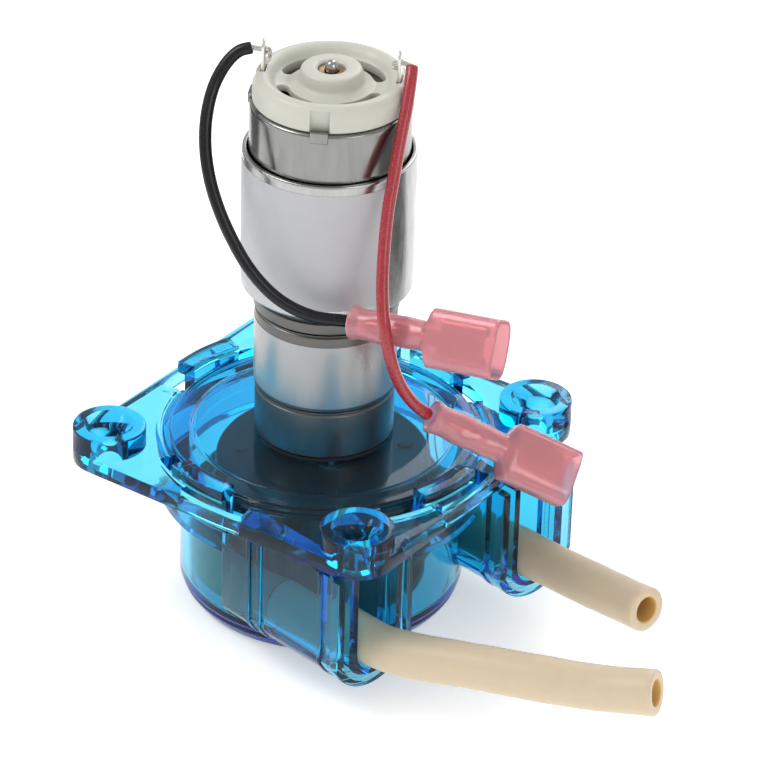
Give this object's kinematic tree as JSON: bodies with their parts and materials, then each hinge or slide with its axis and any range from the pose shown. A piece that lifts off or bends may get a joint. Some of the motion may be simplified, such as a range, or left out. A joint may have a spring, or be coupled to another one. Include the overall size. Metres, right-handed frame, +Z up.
{
  "type": "peristaltic pump",
  "caption": "Motor-driven peristaltic pump: clear blue twist-lock tubing head under a square flange, upright geared motor, cream tube ends and insulated push-on leads.",
  "frame": {"origin": "centre of the pump housing's flat base, on the drive axis", "axes": "+Z up along the drive axis towards the motor; +X towards the side of the flange where the two tube ports come out; +Y completes the right-handed frame"},
  "size_m": [0.1006, 0.0594, 0.0946],
  "materials": {
    "clear_blue": "clear blue polycarbonate, polished",
    "tube": "translucent cream pump tubing, satin",
    "rotor_black": "black acetal, satin",
    "gasket_rubber": "matt",
    "dark_steel": "machined, slightly oiled",
    "steel": "bright nickel-plated",
    "bronze": "sintered bronze, satin",
    "gear_steel": "sintered, satin",
    "copper": "enamelled copper, satin",
    "magnet": "sintered ferrite, matt",
    "carbon": "carbon, matt",
    "cap_nylon": "ivory moulded nylon, satin",
    "tinned_brass": "tinned, bright",
    "lead_black": "black silicone insulation, glossy",
    "lead_red": "translucent red insulation, glossy",
    "sleeve_pink": "translucent pink vinyl, satin"
  },
  "bodies": {
    "drive_unit": {"mounting_flange": "clear_blue", "seat_gasket": "gasket_rubber", "gearbox_front_housing": "dark_steel", "output_bushing": "bronze", "ring_gear": "dark_steel", "gearbox_adaptor": "dark_steel", "gearbox_screw_1": "steel", "gearbox_screw_2": "steel", "gearbox_screw_3": "steel", "gearbox_screw_4": "steel", "motor_can": "steel", "flux_sleeve": "steel", "front_bushing": "bronze", "rear_bushing": "bronze", "magnet_left": "magnet", "magnet_right": "magnet", "brush_left": "carbon", "brush_right": "carbon", "end_cap": "cap_nylon", "terminal_left": "tinned_brass", "terminal_right": "tinned_brass", "black_lead": "lead_black", "red_lead": "lead_red", "black_connector_sleeve": "sleeve_pink", "red_connector_sleeve": "sleeve_pink", "black_receptacle": "tinned_brass", "red_receptacle": "tinned_brass"},
    "pump_head": {"pump_housing": "clear_blue", "tube_loop": "tube", "inlet_tube": "tube", "outlet_tube": "tube"},
    "armature": {"motor_shaft": "steel", "motor_pinion": "bronze", "armature_core": "dark_steel", "armature_windings": "copper", "commutator": "copper"},
    "carrier_1": {"planet_carrier_1": "steel"},
    "carrier_2": {"planet_carrier_2": "steel"},
    "rotor": {"output_shaft": "steel", "rotor_frame": "rotor_black", "rotor_lower_plate": "rotor_black", "roller_pin_1": "steel", "roller_pin_2": "steel", "roller_pin_3": "steel", "roller_pin_4": "steel"},
    "planet_1_1": {"planet_1_1": "gear_steel"},
    "planet_1_2": {"planet_1_2": "gear_steel"},
    "planet_1_3": {"planet_1_3": "gear_steel"},
    "planet_2_1": {"planet_2_1": "gear_steel"},
    "planet_2_2": {"planet_2_2": "gear_steel"},
    "planet_2_3": {"planet_2_3": "gear_steel"},
    "planet_3_1": {"planet_3_1": "gear_steel"},
    "planet_3_2": {"planet_3_2": "gear_steel"},
    "planet_3_3": {"planet_3_3": "gear_steel"},
    "roller_1": {"roller_1": "rotor_black"},
    "roller_2": {"roller_2": "rotor_black"},
    "roller_3": {"roller_3": "rotor_black"},
    "roller_4": {"roller_4": "rotor_black"}
  },
  "joints": [
    {"name": "motor_spin", "type": "hinge", "parent": "drive_unit", "child": "armature", "pos_m": [0, 0, 0.07], "axis": [0, 0, 1], "continuous": true},
    {"name": "carrier_1_spin", "type": "hinge", "parent": "drive_unit", "child": "carrier_1", "pos_m": [0, 0, 0.047], "axis": [0, 0, 1], "continuous": true},
    {"name": "carrier_2_spin", "type": "hinge", "parent": "drive_unit", "child": "carrier_2", "pos_m": [0, 0, 0.0425], "axis": [0, 0, 1], "continuous": true},
    {"name": "rotor_spin", "type": "hinge", "parent": "drive_unit", "child": "rotor", "pos_m": [0, 0, 0.015], "axis": [0, 0, 1], "continuous": true},
    {"name": "head_twist", "type": "hinge", "parent": "drive_unit", "child": "pump_head", "pos_m": [0, 0, 0.022], "axis": [0, 0, 1], "range_deg": [-12, 7]},
    {"name": "planet_1_1_spin", "type": "hinge", "parent": "carrier_1", "child": "planet_1_1", "pos_m": [0.0057, 0, 0.0495], "axis": [0, 0, 1], "continuous": true},
    {"name": "planet_1_2_spin", "type": "hinge", "parent": "carrier_1", "child": "planet_1_2", "pos_m": [-0.00285, 0.00494, 0.0495], "axis": [0, 0, 1], "continuous": true},
    {"name": "planet_1_3_spin", "type": "hinge", "parent": "carrier_1", "child": "planet_1_3", "pos_m": [-0.00285, -0.00494, 0.0495], "axis": [0, 0, 1], "continuous": true},
    {"name": "planet_2_1_spin", "type": "hinge", "parent": "carrier_2", "child": "planet_2_1", "pos_m": [0.0057, 0, 0.045], "axis": [0, 0, 1], "continuous": true},
    {"name": "planet_2_2_spin", "type": "hinge", "parent": "carrier_2", "child": "planet_2_2", "pos_m": [-0.00285, 0.00494, 0.045], "axis": [0, 0, 1], "continuous": true},
    {"name": "planet_2_3_spin", "type": "hinge", "parent": "carrier_2", "child": "planet_2_3", "pos_m": [-0.00285, -0.00494, 0.045], "axis": [0, 0, 1], "continuous": true},
    {"name": "planet_3_1_spin", "type": "hinge", "parent": "rotor", "child": "planet_3_1", "pos_m": [0.0057, 0, 0.0405], "axis": [0, 0, 1], "continuous": true},
    {"name": "planet_3_2_spin", "type": "hinge", "parent": "rotor", "child": "planet_3_2", "pos_m": [-0.00285, 0.00494, 0.0405], "axis": [0, 0, 1], "continuous": true},
    {"name": "planet_3_3_spin", "type": "hinge", "parent": "rotor", "child": "planet_3_3", "pos_m": [-0.00285, -0.00494, 0.0405], "axis": [0, 0, 1], "continuous": true},
    {"name": "roller_1_spin", "type": "hinge", "parent": "rotor", "child": "roller_1", "pos_m": [0.00966, 0.0084, 0.0127], "axis": [0, 0, 1], "continuous": true},
    {"name": "roller_2_spin", "type": "hinge", "parent": "rotor", "child": "roller_2", "pos_m": [-0.0084, 0.00966, 0.0127], "axis": [0, 0, 1], "continuous": true},
    {"name": "roller_3_spin", "type": "hinge", "parent": "rotor", "child": "roller_3", "pos_m": [-0.00966, -0.0084, 0.0127], "axis": [0, 0, 1], "continuous": true},
    {"name": "roller_4_spin", "type": "hinge", "parent": "rotor", "child": "roller_4", "pos_m": [0.0084, -0.00966, 0.0127], "axis": [0, 0, 1], "continuous": true}
  ],
  "couplings": [
    {"joint": "motor_spin", "follows": "rotor_spin", "ratio": 125},
    {"joint": "carrier_1_spin", "follows": "rotor_spin", "ratio": 25},
    {"joint": "carrier_2_spin", "follows": "rotor_spin", "ratio": 5},
    {"joint": "planet_1_1_spin", "follows": "rotor_spin", "ratio": -66.667},
    {"joint": "planet_1_2_spin", "follows": "rotor_spin", "ratio": -66.667},
    {"joint": "planet_1_3_spin", "follows": "rotor_spin", "ratio": -66.667},
    {"joint": "planet_2_1_spin", "follows": "rotor_spin", "ratio": -13.333},
    {"joint": "planet_2_2_spin", "follows": "rotor_spin", "ratio": -13.333},
    {"joint": "planet_2_3_spin", "follows": "rotor_spin", "ratio": -13.333},
    {"joint": "planet_3_1_spin", "follows": "rotor_spin", "ratio": -2.6667},
    {"joint": "planet_3_2_spin", "follows": "rotor_spin", "ratio": -2.6667},
    {"joint": "planet_3_3_spin", "follows": "rotor_spin", "ratio": -2.6667},
    {"joint": "roller_1_spin", "follows": "rotor_spin", "ratio": -3.8913},
    {"joint": "roller_2_spin", "follows": "rotor_spin", "ratio": -3.8913},
    {"joint": "roller_3_spin", "follows": "rotor_spin", "ratio": -3.8913},
    {"joint": "roller_4_spin", "follows": "rotor_spin", "ratio": -3.8913}
  ]
}
